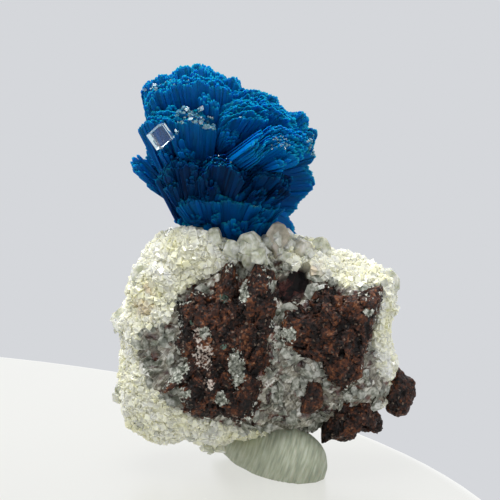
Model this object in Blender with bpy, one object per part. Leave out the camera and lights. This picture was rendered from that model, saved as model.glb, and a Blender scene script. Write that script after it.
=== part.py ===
# Cavansite with calcite: a small mineral specimen, standing on the lump of grey putty that
# holds it upright. A calcite crust with crystals on it carries pieces of brown basalt in its
# broken front, a blue cavansite rosette on top, and one clear calcite rhomb on the rosette.
# Metres, +Z up, the broken front faces -Y. The origin is the middle of the putty's flat foot.

import math
import random

import bmesh
import bpy
import numpy as np
from mathutils import Matrix, Vector, noise

MM = 0.001
FIT_GAP = 0.3 * MM  # clearance between two pieces that touch
GOLDEN_ANGLE = math.pi * (3 - math.sqrt(5))

# Bodies given by their front outline. Points are X, Z in millimetres, read round the outline;
# front and back are how far the body reaches from its centre along Y.
CRUST = {
    "centre": (-0.5, 0.8, 11.8),
    "front": 5.6,
    "back": 6.6,
    "boxy": 2.7,
    "roughness": 0.6,
    "detail": 3,
    "seed": 3.1,
    "outline": [
        (11.4, 11.9), (11.2, 13.5), (11.9, 16.4), (11.2, 18.0), (8.6, 19.0), (6.0, 20.0),
        (3.6, 20.6), (1.0, 21.3), (-1.7, 21.4), (-5.1, 21.6), (-8.1, 21.3), (-10.2, 19.9),
        (-11.6, 18.2), (-12.1, 15.3), (-12.4, 11.6), (-12.6, 8.4), (-12.0, 5.2), (-10.4, 3.6),
        (-7.2, 3.2), (-4.5, 2.5), (-2.4, 3.2), (2.0, 3.6), (5.7, 4.2), (8.4, 5.2),
        (11.4, 6.2), (12.1, 8.6),
    ],
}
BASALT = {
    "basalt_left": {
        "centre": (-3.0, -3.4, 12.6),
        "front": 2.6,
        "back": 2.2,
        "boxy": 3.2,
        "roughness": 0.7,
        "detail": 4,
        "keep": 0.42,
        "seed": 7.7,
        "outline": [
            (0.6, 12.8), (1.1, 15.2), (1.6, 16.8), (0.6, 18.6), (-0.4, 20.3), (-1.2, 18.6),
            (-2.1, 18.2), (-2.6, 20.1), (-3.8, 18.8), (-4.9, 17.2), (-6.0, 18.0), (-7.3, 16.4),
            (-7.5, 13.6), (-6.6, 11.2), (-7.0, 9.5), (-9.0, 8.2), (-7.0, 6.3), (-3.6, 6.2),
            (-2.0, 5.4), (-0.5, 6.9), (0.3, 9.2), (0.7, 10.8),
        ],
    },
    "basalt_right": {
        "centre": (6.0, -3.1, 13.2),
        "front": 2.8,
        "back": 2.0,
        "boxy": 2.8,
        "roughness": 0.7,
        "detail": 4,
        "keep": 0.3,
        "seed": 1.9,
        "outline": [
            (9.4, 12.6), (10.1, 15.2), (10.9, 17.3), (8.4, 16.9), (7.1, 17.2), (5.9, 17.8),
            (3.9, 16.6), (2.1, 15.8), (1.6, 14.2), (2.6, 11.9), (5.3, 11.0), (6.6, 8.6),
            (7.6, 8.4), (8.9, 10.2),
        ],
    },
    "basalt_sliver": {
        "centre": (4.3, -4.2, 7.8),
        "front": 1.2,
        "back": 1.4,
        "boxy": 2.4,
        "roughness": 0.3,
        "detail": 2,
        "keep": 1.0,
        "seed": 4.4,
        "outline": [
            (5.3, 7.9), (5.1, 9.1), (4.5, 9.3), (4.0, 8.4), (3.6, 7.2), (3.4, 6.3),
            (4.1, 6.3), (4.9, 6.8),
        ],
    },
    "basalt_toe": {
        "centre": (8.5, -1.2, 5.6),
        "front": 2.3,
        "back": 2.4,
        "boxy": 2.6,
        "roughness": 0.5,
        "detail": 3,
        "keep": 0.65,
        "seed": 8.2,
        "outline": [
            (10.3, 5.4), (9.8, 6.5), (9.2, 7.3), (7.9, 7.0), (6.3, 7.0), (5.8, 5.2),
            (5.6, 3.0), (6.3, 3.3), (7.2, 3.1), (8.1, 3.1), (8.6, 3.9), (9.2, 4.7),
            (9.8, 3.9), (10.5, 3.5), (10.8, 4.2),
        ],
    },
    "basalt_spur": {
        "centre": (12.3, 0.6, 6.8),
        "front": 1.9,
        "back": 1.9,
        "boxy": 2.6,
        "roughness": 0.4,
        "detail": 2,
        "keep": 1.0,
        "seed": 5.5,
        "outline": [
            (14.0, 7.2), (13.1, 8.3), (12.4, 9.0), (11.9, 8.5), (11.1, 7.7), (11.1, 6.4),
            (11.6, 5.4), (12.4, 4.5), (13.2, 5.0), (13.5, 5.8),
        ],
    },
}

# The rosette: blades grow from one root, in bundles. Each bundle is the place of its head
# (X, Y, Z, in millimetres) and the radius of the head.
ROSETTE_ROOT = (-3.1, 0.8, 20.6)
ROSETTE_CORE = {
    "centre": (-3.3, 0.8, 26.4),
    "front": 5.0,
    "back": 5.2,
    "boxy": 2.3,
    "roughness": 0.3,
    "detail": 2,
    "seed": 2.6,
    "outline": [
        (2.6, 27.0), (2.6, 29.4), (1.2, 31.8), (-2.2, 33.8), (-5.6, 34.6), (-8.6, 33.6),
        (-9.4, 30.4), (-9.2, 27.6), (-8.2, 25.0), (-7.6, 22.2), (-6.8, 19.8), (-3.0, 19.4),
        (0.6, 19.8), (2.0, 22.0), (1.9, 24.4),
    ],
}
BUNDLES = [
    (-9.0, 0.0, 35.4, 1.7), (-5.7, 0.8, 36.9, 1.4), (-7.4, -1.2, 35.9, 1.7), (-2.8, 0.6, 35.6, 1.6),
    (-0.3, 0.2, 34.3, 1.6), (1.9, 0.4, 32.9, 1.5), (3.5, 0.2, 32.1, 1.2), (4.3, 0.0, 30.6, 1.1),
    (3.9, 0.6, 28.2, 1.4), (3.3, 0.8, 26.0, 1.2), (2.0, 1.0, 24.2, 1.1), (-10.1, 0.0, 33.6, 1.2),
    (-10.0, 0.2, 31.2, 1.3), (-9.8, 0.6, 29.3, 1.1), (-11.4, 0.8, 28.4, 0.8), (-8.9, 0.8, 26.0, 1.1),
    (-6.3, -4.4, 32.4, 1.9), (-8.9, -3.9, 31.2, 1.9), (1.9, -4.0, 30.0, 1.9), (-0.9, -3.6, 32.6, 1.7),
    (-3.6, -5.6, 29.9, 1.4), (-7.2, -3.8, 26.6, 1.5), (-4.2, -4.8, 26.0, 1.5), (-1.0, -5.0, 27.2, 1.6),
    (1.8, -3.2, 26.4, 1.4), (-4.4, -3.4, 34.6, 1.6), (-7.7, 0.6, 23.6, 1.1), (-6.4, -3.2, 23.4, 1.2),
    (-3.0, -4.2, 23.6, 1.4), (0.6, -3.4, 23.8, 1.3),
]
BACK_BUNDLES = [
    (-8.4, 4.6, 33.8, 2.1), (-4.8, 5.4, 34.8, 2.1), (-1.0, 5.0, 33.8, 2.0), (2.2, 4.4, 31.4, 2.0),
    (-9.2, 4.2, 29.6, 1.8), (3.0, 4.4, 27.8, 1.8), (-3.4, 7.2, 30.8, 2.3), (-6.6, 6.2, 27.6, 2.0),
    (0.2, 6.4, 28.6, 2.1), (-3.2, 5.8, 25.2, 1.9),
]
BLADES_AT_FRONT = 3  # blades that stand out of each bundle's head
BLADES_AT_BACK = 2
BLADE_WIDTH = (1.1, 1.7)
BLADE_THICKNESS = (0.5, 0.8)

# Calcite crystals on the crust, in millimetres: place (X, Y, Z), edge, lean to the right and
# towards the front in degrees, and how steep the rhomb is.
LARGE_CRYSTALS = [
    (-4.2, -3.1, 21.8, 1.5, 4, 8, 38),
    (-2.8, -3.4, 21.0, 1.4, -8, 18, 44),
    (-0.9, -3.5, 20.9, 2.2, -12, 8, 38),
    (1.3, -2.0, 21.5, 2.1, 5, 4, 36),
    (3.4, -1.2, 20.2, 1.8, 20, 5, 46),
    (5.3, 0.4, 20.0, 1.8, 4, 0, 40),
    (-12.4, 0.6, 13.4, 1.9, -80, 0, 55),
    (-12.3, 1.4, 7.0, 1.8, -100, 0, 52),
    (11.0, 1.0, 17.2, 2.0, 50, 0, 50),
    (-4.6, -1.4, 3.2, 1.9, 190, 20, 60),
    (-10.7, -1.0, 18.2, 1.6, -48, 10, 45),
]
SMALL_CRYSTALS = 102
SMALL_EDGE = (1.4, 2.3)

CLEAR_RHOMB = {"place": (-8.9, -4.9, 31.5), "edge": 1.6, "turn": (96, 78, 84)}

# The putty: an egg lying on its side, in millimetres. Its blunt end is at the front right and it
# narrows towards the back left, by the share "taper". "along" is its axis in plan.
PUTTY = {
    "centre": (0.3, 0.0, 1.2),
    "along": (-0.705, 0.709),
    "half_length": 7.1,
    "half_width": 2.4,
    "half_height": 2.75,
    "taper": 0.66,
}


def clear_scene():
    for item in list(bpy.data.objects):
        bpy.data.objects.remove(item)


def make_material(name, colour, roughness, transmission=0.0):
    material = bpy.data.materials.new(name)
    material.use_nodes = True
    shader = material.node_tree.nodes["Principled BSDF"]
    shader.inputs["Base Color"].default_value = (*colour, 1.0)
    shader.inputs["Roughness"].default_value = roughness
    shader.inputs["Metallic"].default_value = 0.0
    shader.inputs["Transmission Weight"].default_value = transmission
    return material


def add_object(name, points, faces, material=None):
    """An object from points in millimetres."""
    mesh = bpy.data.meshes.new(name)
    mesh.from_pydata([tuple(float(c) * MM for c in p) for p in points], [], faces)
    made = bpy.data.objects.new(name, mesh)
    bpy.context.scene.collection.objects.link(made)
    if material:
        mesh.materials.append(material)
    return made


def hide_cutter(cutter):
    cutter.hide_render = True
    cutter.display_type = "WIRE"
    return cutter


def add_boolean(target, other, operation, use_self=False):
    modifier = target.modifiers.new(operation.title(), "BOOLEAN")
    modifier.operation = operation
    modifier.solver = "EXACT"
    modifier.use_self = use_self
    modifier.object = other


def keep_outer_shell(target):
    """Settle the modifiers and drop hollows closed in between grown-together crystals."""
    graph = bpy.context.evaluated_depsgraph_get()
    settled = bpy.data.meshes.new_from_object(target.evaluated_get(graph))
    bm = bmesh.new()
    bm.from_mesh(settled)
    left = set(bm.verts)
    shells = []
    while left:
        shell = {left.pop()}
        edge_of_shell = list(shell)
        while edge_of_shell:
            for edge in edge_of_shell.pop().link_edges:
                for vert in edge.verts:
                    if vert in left:
                        left.discard(vert)
                        shell.add(vert)
                        edge_of_shell.append(vert)
        shells.append(shell)
    shells.sort(key=len)
    for shell in shells[:-1]:
        bmesh.ops.delete(bm, geom=list(shell), context="VERTS")
    bm.to_mesh(settled)
    bm.free()
    target.modifiers.clear()
    target.data = settled


def ball_directions(detail):
    """Points and triangles of a unit ball."""
    bm = bmesh.new()
    bmesh.ops.create_icosphere(bm, subdivisions=detail, radius=1.0)
    points = np.array([v.co.normalized() for v in bm.verts])
    faces = [[v.index for v in f.verts] for f in bm.faces]
    bm.free()
    return points, faces


def slab_radius(body, directions):
    """How far a body given by its outline reaches from its centre, along each direction."""
    cx, _, cz = body["centre"]
    outline = np.array(body["outline"]) - (cx, cz)
    angles = np.arctan2(outline[:, 1], outline[:, 0])
    order = np.argsort(angles)
    turn = np.arctan2(directions[:, 2], directions[:, 0])
    side = np.interp(
        turn, angles[order], np.hypot(*outline.T)[order], period=2 * math.pi
    )
    depth = np.where(directions[:, 1] < 0, body["front"], body["back"])
    power = body["boxy"]
    flat = np.hypot(directions[:, 0], directions[:, 2]) / side
    deep = np.abs(directions[:, 1]) / depth
    return (flat**power + deep**power) ** (-1 / power)


def rough_points(body, directions):
    """Surface points of a body given by its outline, with its lumps."""
    centre = np.array(body["centre"])
    points = centre + directions * slab_radius(body, directions)[:, None]
    shift = Vector((body["seed"], body["seed"] * 2, 0))
    lumps = [noise.fractal(Vector(p) * 0.4 + shift, 0.7, 2.1, 3) for p in points]
    return points + directions * (np.array(lumps) * body["roughness"])[:, None]


def build_body(name, body, material=None):
    directions, faces = ball_directions(body["detail"])
    made = add_object(name, rough_points(body, directions), faces, material)
    if body.get("keep", 1.0) < 1.0:
        thin = made.modifiers.new("Thin", "DECIMATE")
        thin.ratio = body["keep"]
    return made


def swollen_copy(source, gap=FIT_GAP):
    """A cutter that is larger than its source by the gap on every side."""
    cutter = bpy.data.objects.new(source.name + "_pocket", source.data.copy())
    bpy.context.scene.collection.objects.link(cutter)
    for thin in source.modifiers:
        cutter.modifiers.new("Thin", "DECIMATE").ratio = thin.ratio
    swell = cutter.modifiers.new("Swell", "DISPLACE")
    swell.mid_level = 0.0
    swell.strength = gap
    return hide_cutter(cutter)


def rhomb_shape(edge, steepness):
    """A calcite rhomb about its own centre, one sharp corner up. Steepness is in degrees."""
    tilt = math.radians(steepness)
    edges = [
        edge
        * Vector(
            (
                math.sin(tilt) * math.cos(k * math.tau / 3),
                math.sin(tilt) * math.sin(k * math.tau / 3),
                math.cos(tilt),
            )
        )
        for k in range(3)
    ]
    middle = sum(edges, Vector()) / 2
    points = [
        x * edges[0] + y * edges[1] + z * edges[2] - middle
        for z in (0, 1)
        for y in (0, 1)
        for x in (0, 1)
    ]
    faces = [
        (0, 2, 3, 1), (4, 5, 7, 6), (0, 1, 5, 4), (2, 6, 7, 3), (0, 4, 6, 2), (1, 3, 7, 5),
    ]
    return points, faces


def blade_shape(width, thickness, length, point, taper):
    """A bladed crystal along +Z from its root, with a chisel point."""
    half_w, half_t = width / 2, thickness / 2
    shoulder = length - point
    corners = [(-1, -1), (1, -1), (1, 1), (-1, 1)]
    points = [Vector((x * half_w * taper, y * half_t * taper, 0)) for x, y in corners]
    points += [Vector((x * half_w, y * half_t, shoulder)) for x, y in corners]
    points += [Vector((x * half_w * 0.35, 0, length)) for x in (-1, 1)]
    faces = [
        (3, 2, 1, 0), (0, 1, 5, 4), (1, 2, 6, 5), (2, 3, 7, 6), (3, 0, 4, 7),
        (4, 5, 9, 8), (6, 7, 8, 9), (5, 6, 9), (7, 4, 8),
    ]
    return points, faces


def sheaf_shape(radius, length, sides=5):
    """A bundle's solid middle: a narrow cone that opens along +Z into a low domed head."""
    points = []
    for height, spread in ((0.0, 0.35), (length * 0.9, 1.0)):
        for k in range(sides):
            angle = k * math.tau / sides
            points.append(
                Vector((math.cos(angle), math.sin(angle), 0)) * radius * spread
                + Vector((0, 0, height))
            )
    points.append(Vector((0, 0, length)))
    faces = [tuple(range(sides - 1, -1, -1))]
    for k in range(sides):
        after = (k + 1) % sides
        faces.append((k, after, sides + after, sides + k))
        faces.append((sides + k, sides + after, 2 * sides))
    return points, faces


def aim(direction, spin):
    """A turn that points +Z along a direction, after a spin about +Z."""
    turn = Vector(direction).to_track_quat("Z", "Y").to_matrix().to_4x4()
    return turn @ Matrix.Rotation(spin, 4, "Z")


class Crystals:
    """Many crystals gathered in one mesh."""

    def __init__(self):
        self.points = []
        self.faces = []

    def add(self, shape, matrix):
        points, faces = shape
        first = len(self.points)
        self.points += [matrix @ p for p in points]
        self.faces += [tuple(first + i for i in face) for face in faces]

    def as_cutter(self, name):
        return hide_cutter(add_object(name, self.points, self.faces))


def rosette_blades():
    rng = random.Random(11)
    root = Vector(ROSETTE_ROOT)
    crystals = Crystals()
    for x, y, z, radius in BUNDLES + BACK_BUNDLES:
        blades = BLADES_AT_FRONT if y < 2 else BLADES_AT_BACK
        head = Vector((x, y, z))
        axis = (head - root).normalized()
        reach = (head - root).length
        frame = aim(axis, rng.uniform(0, math.tau))
        sheaf_length = reach * 0.6
        start = root + axis * (reach - 0.5 - sheaf_length)
        crystals.add(
            sheaf_shape(radius, sheaf_length), Matrix.Translation(start) @ frame
        )
        for k in range(blades):
            off = radius * 0.7 * math.sqrt((k + 0.4) / blades)
            turn = k * GOLDEN_ANGLE
            side = frame @ Vector((off * math.cos(turn), off * math.sin(turn), 0))
            tip = head + side - axis * (0.3 * off * off / radius)
            grown = (tip - root).normalized()
            length = reach * 0.4
            shape = blade_shape(
                rng.uniform(*BLADE_WIDTH),
                rng.uniform(*BLADE_THICKNESS),
                length,
                rng.uniform(0.5, 0.9),
                0.6,
            )
            place = Matrix.Translation(tip - grown * length)
            crystals.add(shape, place @ aim(grown, rng.uniform(0, math.tau)))
    return crystals


def build_rosette(material, crust_body):
    rosette = build_body("cavansite_rosette", ROSETTE_CORE, material)
    blades = rosette_blades().as_cutter("rosette_blades")
    add_boolean(rosette, blades, "UNION", use_self=True)
    add_boolean(rosette, swollen_copy(crust_body), "DIFFERENCE")
    around = large_crystals(FIT_GAP / MM).as_cutter("crystal_pockets")
    add_boolean(rosette, around, "DIFFERENCE", use_self=True)
    keep_outer_shell(rosette)
    return rosette


def is_free_of_neighbours(point):
    """Whether a small crystal may grow here: not by the basalt, the rosette or the putty."""
    x, y, z = point
    on_front = y < -2.2 and -8.8 < x < 10.6 and 5.0 < z < 20.0
    by_rosette = z > 18.5 and math.hypot((x + 2.9) / 6.4, (y - 0.8) / 6.4) < 1.0
    by_putty = z < 5.4 and -6.2 < x < 7.2
    by_toe = y < 2.6 and x > 5.0 and z < 8.8
    by_spur = x > 10.4 and z < 10.0
    return not (on_front or by_rosette or by_putty or by_toe or by_spur)


def large_crystals(gap=0.0):
    """The larger crystals of the crust, each wider by the gap on every side."""
    crystals = Crystals()
    for k, (x, y, z, edge, lean, forward, steepness) in enumerate(LARGE_CRYSTALS):
        turn = Matrix.Rotation(math.radians(lean), 4, "Y") @ Matrix.Rotation(
            math.radians(forward), 4, "X"
        )
        turn = turn @ Matrix.Rotation(k * 0.9, 4, "Z")
        shape = rhomb_shape(edge + 2.5 * gap, steepness)
        crystals.add(shape, Matrix.Translation((x, y, z)) @ turn)
    return crystals


def crust_crystals():
    rng = random.Random(5)
    crystals = large_crystals()
    centre = Vector(CRUST["centre"])
    heights = [1 - 2 * (k + 0.5) / SMALL_CRYSTALS for k in range(SMALL_CRYSTALS)]
    directions = np.array(
        [
            (
                math.sqrt(1 - h * h) * math.cos(k * GOLDEN_ANGLE),
                math.sqrt(1 - h * h) * math.sin(k * GOLDEN_ANGLE),
                h,
            )
            for k, h in enumerate(heights)
        ]
    )
    for point in rough_points(CRUST, directions):
        if not is_free_of_neighbours(point):
            continue
        outward = (Vector(point) - centre).normalized()
        lean = Vector([rng.uniform(-0.5, 0.5) for _ in range(3)])
        shape = rhomb_shape(rng.uniform(*SMALL_EDGE), rng.uniform(46, 64))
        place = Matrix.Translation(Vector(point) - outward * 0.15)
        crystals.add(shape, place @ aim(outward + lean, rng.uniform(0, math.tau)))
    return crystals


def build_basalt(material):
    return [build_body(name, body, material) for name, body in BASALT.items()]


def build_crust(material, neighbours):
    crust = build_body("calcite_crust", CRUST, material)
    crystals = crust_crystals().as_cutter("crust_crystals")
    add_boolean(crust, crystals, "UNION", use_self=True)
    for neighbour in neighbours:
        add_boolean(crust, swollen_copy(neighbour), "DIFFERENCE")
    keep_outer_shell(crust)
    return crust


def rhomb_matrix(spec):
    a, b, c = (math.radians(v) for v in spec["turn"])
    turn = Matrix.Rotation(c, 4, "Z") @ Matrix.Rotation(b, 4, "Y")
    turn = turn @ Matrix.Rotation(a, 4, "X")
    return Matrix.Translation(spec["place"]) @ turn


def build_clear_rhomb(material, rosette):
    crystals = Crystals()
    crystals.add(rhomb_shape(CLEAR_RHOMB["edge"], 57), rhomb_matrix(CLEAR_RHOMB))
    rhomb = add_object("calcite_rhomb", crystals.points, crystals.faces, material)
    pocket = Crystals()
    pocket.add(
        rhomb_shape(CLEAR_RHOMB["edge"] + 2 * FIT_GAP / MM, 57),
        rhomb_matrix(CLEAR_RHOMB),
    )
    add_boolean(rosette, pocket.as_cutter("rhomb_pocket"), "DIFFERENCE")
    return rhomb


def putty_radius(directions):
    """How far the putty reaches from its centre along each direction, cut flat at the foot."""
    ahead = np.array((*PUTTY["along"], 0.0))
    ahead /= np.linalg.norm(ahead)
    beside = np.array((ahead[1], -ahead[0], 0.0))
    u = directions @ ahead / PUTTY["half_length"]
    v = directions @ beside / PUTTY["half_width"]
    w = directions[:, 2] / PUTTY["half_height"]
    low = np.zeros(len(directions))
    high = np.full(len(directions), PUTTY["half_length"])
    for _ in range(30):
        middle = (low + high) / 2
        narrowing = 1 - PUTTY["taper"] * u * middle
        inside = (u * middle) ** 2 + ((v * middle) ** 2 + (w * middle) ** 2) / narrowing**2 < 1
        low = np.where(inside, middle, low)
        high = np.where(inside, high, middle)
    falling = np.minimum(directions[:, 2], -1e-9)
    to_floor = np.where(directions[:, 2] < 0, -PUTTY["centre"][2] / falling, np.inf)
    return np.minimum(low, to_floor)


def build_putty(material, neighbours):
    # one point of the ball looks along the egg, so that the narrow end isn't cut short
    directions, faces = ball_directions(3)
    directions = directions @ np.array(aim((*PUTTY["along"], 0.0), 0.0).to_3x3()).T
    points = np.array(PUTTY["centre"]) + directions * putty_radius(directions)[:, None]
    putty = add_object("mounting_putty", points, faces, material)
    for neighbour in neighbours:
        add_boolean(putty, swollen_copy(neighbour), "DIFFERENCE")
    return putty


def main():
    clear_scene()
    cavansite = make_material("cavansite", (0.01, 0.16, 0.42), 0.35)
    calcite = make_material("calcite", (0.80, 0.81, 0.66), 0.30, 0.2)
    clear_calcite = make_material("clear_calcite", (0.90, 0.95, 0.95), 0.05, 0.9)
    basalt = make_material("basalt", (0.14, 0.05, 0.03), 0.85)
    putty = make_material("putty", (0.33, 0.35, 0.27), 0.6)

    pieces = build_basalt(basalt)
    body = hide_cutter(build_body("crust_body", CRUST))
    rosette = build_rosette(cavansite, body)
    build_crust(calcite, pieces)
    build_clear_rhomb(clear_calcite, rosette)
    build_putty(putty, [body] + pieces)


main()
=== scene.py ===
import math
from functools import partial

import bmesh
import bpy
import numpy as np
from mathutils import Matrix, Quaternion, Vector, noise


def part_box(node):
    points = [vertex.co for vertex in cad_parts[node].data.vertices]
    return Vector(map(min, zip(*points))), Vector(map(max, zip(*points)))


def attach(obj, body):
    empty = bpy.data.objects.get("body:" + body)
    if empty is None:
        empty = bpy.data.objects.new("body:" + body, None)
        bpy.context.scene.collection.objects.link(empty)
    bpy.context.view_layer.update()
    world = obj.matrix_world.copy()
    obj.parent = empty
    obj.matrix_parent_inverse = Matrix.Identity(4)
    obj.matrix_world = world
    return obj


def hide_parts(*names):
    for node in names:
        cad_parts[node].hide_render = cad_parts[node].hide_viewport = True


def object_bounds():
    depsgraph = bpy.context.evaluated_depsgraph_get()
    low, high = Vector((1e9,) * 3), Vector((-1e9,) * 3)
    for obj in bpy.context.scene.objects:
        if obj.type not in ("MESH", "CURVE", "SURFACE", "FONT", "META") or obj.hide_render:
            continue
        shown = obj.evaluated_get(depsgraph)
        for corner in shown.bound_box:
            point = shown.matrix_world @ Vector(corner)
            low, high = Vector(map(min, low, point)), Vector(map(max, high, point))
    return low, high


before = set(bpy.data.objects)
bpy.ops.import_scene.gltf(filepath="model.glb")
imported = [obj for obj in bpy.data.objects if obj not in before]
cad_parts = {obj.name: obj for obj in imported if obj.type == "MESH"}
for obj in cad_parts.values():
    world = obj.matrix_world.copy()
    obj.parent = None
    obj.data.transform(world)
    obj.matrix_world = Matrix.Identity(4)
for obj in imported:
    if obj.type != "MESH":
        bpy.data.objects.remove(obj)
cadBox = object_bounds()
mm = 0.001
print("frame loaded")


def linearColour(code):
    # sRGB hex to the linear values that shaders take
    parts = [int(code[i : i + 2], 16) / 255 for i in (1, 3, 5)]
    return [c / 12.92 if c < 0.04045 else ((c + 0.055) / 1.055) ** 2.4 for c in parts] + [1.0]


def setInputs(node, inputs):
    # a socket is linked, anything else becomes the input's own value
    for name, value in inputs.items():
        if isinstance(value, bpy.types.NodeSocket):
            node.id_data.links.new(value, node.inputs[name])
        else:
            node.inputs[name].default_value = value


def addNode(tree, kind, output, inputs=None, **settings):
    # gives back the output that is used, by its name or number, or all of them for None
    node = tree.nodes.new("ShaderNode" + kind)
    stops = settings.pop("stops", [])
    for _ in stops[2:]:
        node.color_ramp.elements.new(0.5)
    for k, (place, code) in enumerate(stops):
        node.color_ramp.elements[k].position = place
        node.color_ramp.elements[k].color = linearColour(code)
    for name, value in settings.items():
        setattr(node, name, value)
    setInputs(node, inputs or {})
    return node.outputs if output is None else node.outputs[output]


def addObject(name, data):
    piece = bpy.data.objects.new(name, data)
    bpy.context.scene.collection.objects.link(piece)
    return piece


def addMesh(name, points, faces, material, smooth=False):
    mesh = bpy.data.meshes.new(name)
    mesh.from_pydata((np.asarray(points) * mm).tolist(), [], faces)
    mesh.materials.append(materials[material])
    if smooth:
        mesh.shade_smooth()
    return addObject(name, mesh)


def addAttribute(piece, name, values):
    attribute = piece.data.attributes.new(name, "FLOAT", "POINT")
    attribute.data.foreach_set("value", np.asarray(values, np.float32))


def roundEdges(piece, width):
    edges = piece.modifiers.new("Edges", "BEVEL")
    edges.width = width * mm
    edges.segments = 2


def dress(piece, slotName, *nodes):
    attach(piece, "root")
    if nodes:
        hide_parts(*nodes)
    return piece


# Bodies given by their front outline: X, Z points round a centre, and the reach to front and
# back. Detail is how often the faces of a ball are split, roughness the height of the lumps
crust = {
    "centre": (-0.5, 0.8, 11.8), "front": 5.6, "back": 6.6, "boxy": 2.7,
    "roughness": 0.6, "detail": 7, "seed": 3.1,
    "outline": [
        (11.4, 11.9), (11.2, 13.5), (11.9, 16.4), (11.2, 18.0), (8.6, 19.0), (6.0, 20.0),
        (3.6, 20.6), (1.0, 21.3), (-1.7, 21.4), (-5.1, 21.6), (-8.1, 21.3), (-10.2, 19.9),
        (-11.6, 18.2), (-12.1, 15.3), (-12.4, 11.6), (-12.6, 8.4), (-12.0, 5.2), (-10.4, 3.6),
        (-7.2, 3.2), (-4.5, 2.5), (-2.4, 3.2), (2.0, 3.6), (5.7, 4.2), (8.4, 5.2),
        (11.4, 6.2), (12.1, 8.6),
    ],
}
basalts = {
    "basalt_left": {
        "centre": (-3.0, -3.4, 12.6), "front": 2.6, "back": 2.2, "boxy": 3.2,
        "roughness": 0.7, "detail": 7, "seed": 7.7, "chips": 1.0,
        "outline": [
            (0.6, 12.8), (1.1, 15.2), (1.6, 16.8), (0.6, 18.6), (-0.4, 20.3), (-1.2, 18.6),
            (-2.1, 18.2), (-2.6, 20.1), (-3.8, 18.8), (-4.9, 17.2), (-6.0, 18.0), (-7.3, 16.4),
            (-7.5, 13.6), (-6.6, 11.2), (-7.0, 9.5), (-9.0, 8.2), (-7.0, 6.3), (-3.6, 6.2),
            (-2.0, 5.4), (-0.5, 6.9), (0.3, 9.2), (0.7, 10.8),
        ],
    },
    "basalt_right": {
        "centre": (6.0, -3.1, 13.2), "front": 2.8, "back": 2.0, "boxy": 2.8,
        "roughness": 0.7, "detail": 7, "seed": 1.9, "chips": 1.0,
        "outline": [
            (9.4, 12.6), (10.1, 15.2), (10.9, 17.3), (8.4, 16.9), (7.1, 17.2), (5.9, 17.8),
            (3.9, 16.6), (2.1, 15.8), (1.6, 14.2), (2.6, 11.9), (5.3, 11.0), (6.6, 8.6),
            (7.6, 8.4), (8.9, 10.2),
        ],
    },
    "basalt_sliver": {
        "centre": (4.3, -4.2, 7.8), "front": 1.2, "back": 1.4, "boxy": 2.4,
        "roughness": 0.3, "detail": 5, "seed": 4.4, "chips": 0.5,
        "outline": [
            (5.3, 7.9), (5.1, 9.1), (4.5, 9.3), (4.0, 8.4), (3.6, 7.2), (3.4, 6.3),
            (4.1, 6.3), (4.9, 6.8),
        ],
    },
    "basalt_toe": {
        "centre": (8.5, -1.2, 5.6), "front": 2.3, "back": 2.4, "boxy": 2.6,
        "roughness": 0.5, "detail": 6, "seed": 8.2, "chips": 0.95,
        "outline": [
            (10.3, 5.4), (9.8, 6.5), (9.2, 7.3), (7.9, 7.0), (6.3, 7.0), (5.8, 5.2),
            (5.6, 3.0), (6.3, 3.3), (7.2, 3.1), (8.1, 3.1), (8.6, 3.9), (9.2, 4.7),
            (9.8, 3.9), (10.5, 3.5), (10.8, 4.2),
        ],
    },
    "basalt_spur": {
        "centre": (12.3, 0.6, 6.8), "front": 1.9, "back": 1.9, "boxy": 2.6,
        "roughness": 0.4, "detail": 5, "seed": 5.5, "chips": 0.8,
        "outline": [
            (14.0, 7.2), (13.1, 8.3), (12.4, 9.0), (11.9, 8.5), (11.1, 7.7), (11.1, 6.4),
            (11.6, 5.4), (12.4, 4.5), (13.2, 5.0), (13.5, 5.8),
        ],
    },
}
rosetteCore = {
    "centre": (-3.3, 0.8, 26.4), "front": 5.0, "back": 5.2, "boxy": 2.3,
    "roughness": 0.3, "detail": 5, "seed": 2.6,
    "outline": [
        (2.6, 27.0), (2.6, 29.4), (1.2, 31.8), (-2.2, 33.8), (-5.6, 34.6), (-8.6, 33.6),
        (-9.4, 30.4), (-9.2, 27.6), (-8.2, 25.0), (-7.6, 22.2), (-6.8, 19.8), (-3.0, 19.4),
        (0.6, 19.8), (2.0, 22.0), (1.9, 24.4),
    ],
}


def inMillimetres(box):
    return [np.array(corner) / mm for corner in box]


def unit(vectors):
    return vectors / np.linalg.norm(vectors, axis=1)[:, None]


def ballMesh(detail):
    # a ball of even triangles, as unit directions
    bm = bmesh.new()
    bmesh.ops.create_icosphere(bm, subdivisions=detail, radius=1.0)
    points = np.array([v.co.normalized() for v in bm.verts])
    faces = np.array([[v.index for v in f.verts] for f in bm.faces])
    bm.free()
    return points, faces


def outlineReach(outline, centre, x, y):
    # how far an outline is from its centre in the direction of x, y
    corners = np.array(outline) - centre
    angles = np.arctan2(corners[:, 1], corners[:, 0])
    order = np.argsort(angles)
    return np.interp(np.arctan2(y, x), angles[order], np.hypot(*corners.T)[order], period=math.tau)


def outlineShare(outline, centre, points):
    # seen from the front: 0 at the centre, 1 at the outline
    x, z = points[:, 0] - centre[0], points[:, 2] - centre[-1]
    return np.hypot(x, z) / outlineReach(outline, (centre[0], centre[-1]), x, z)


def reach(body, directions):
    # distance from the body's centre to its surface
    cx, _, cz = body["centre"]
    side = outlineReach(body["outline"], (cx, cz), directions[:, 0], directions[:, 2])
    depth = np.where(directions[:, 1] < 0, body["front"], body["back"])
    flat = np.hypot(directions[:, 0], directions[:, 2]) / side
    deep = np.abs(directions[:, 1]) / depth
    power = body["boxy"]
    return (flat**power + deep**power) ** (-1 / power)


def isInside(body, points, margin=0.0):
    away = np.asarray(points) - body["centre"]
    distance = np.linalg.norm(away, axis=1)
    return distance < reach(body, away / distance[:, None]) + margin


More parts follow.
